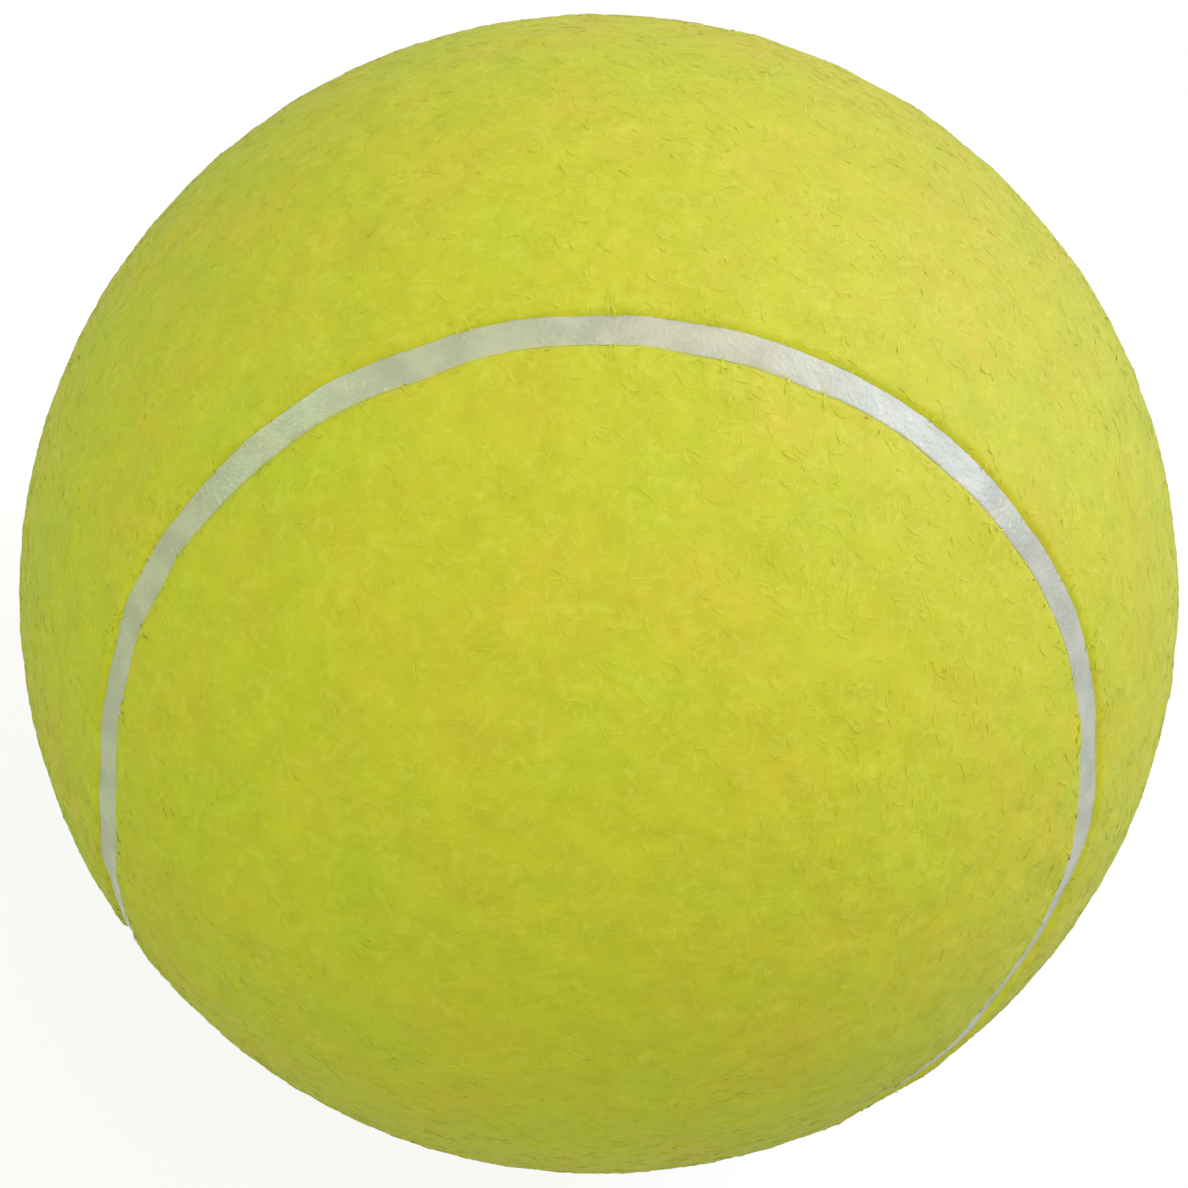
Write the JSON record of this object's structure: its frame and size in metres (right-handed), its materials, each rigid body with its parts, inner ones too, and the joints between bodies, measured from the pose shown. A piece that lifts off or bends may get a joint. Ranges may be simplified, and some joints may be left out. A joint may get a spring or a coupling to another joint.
{
  "type": "tennis ball",
  "caption": "Hollow pressurised rubber ball covered with yellow felt panels that meet along a recessed, curving rubber seam.",
  "frame": {"origin": "centre of the ball", "axes": "+Z through the waist of the top felt panel and -Z through the waist of the bottom one; the bottom panel's lobes lie at the front (-Y) and back (+Y) and the top panel's at the sides (+X and -X)"},
  "size_m": [0.067, 0.067, 0.067],
  "materials": {
    "core_rubber": "matte moulded",
    "rim_cement": "satin",
    "rubber_solution": "satin",
    "yellow_felt": "raised nap",
    "seam_rubber": "matte"
  },
  "bodies": {
    "root": {"core_half_top": "core_rubber", "core_half_bottom": "core_rubber", "core_rim_cement": "rim_cement", "core_coat": "rubber_solution", "panel_cement_top": "rubber_solution", "panel_cement_bottom": "rubber_solution", "felt_panel_top": "yellow_felt", "felt_panel_bottom": "yellow_felt", "seam_rubber": "seam_rubber"}
  },
  "joints": []
}
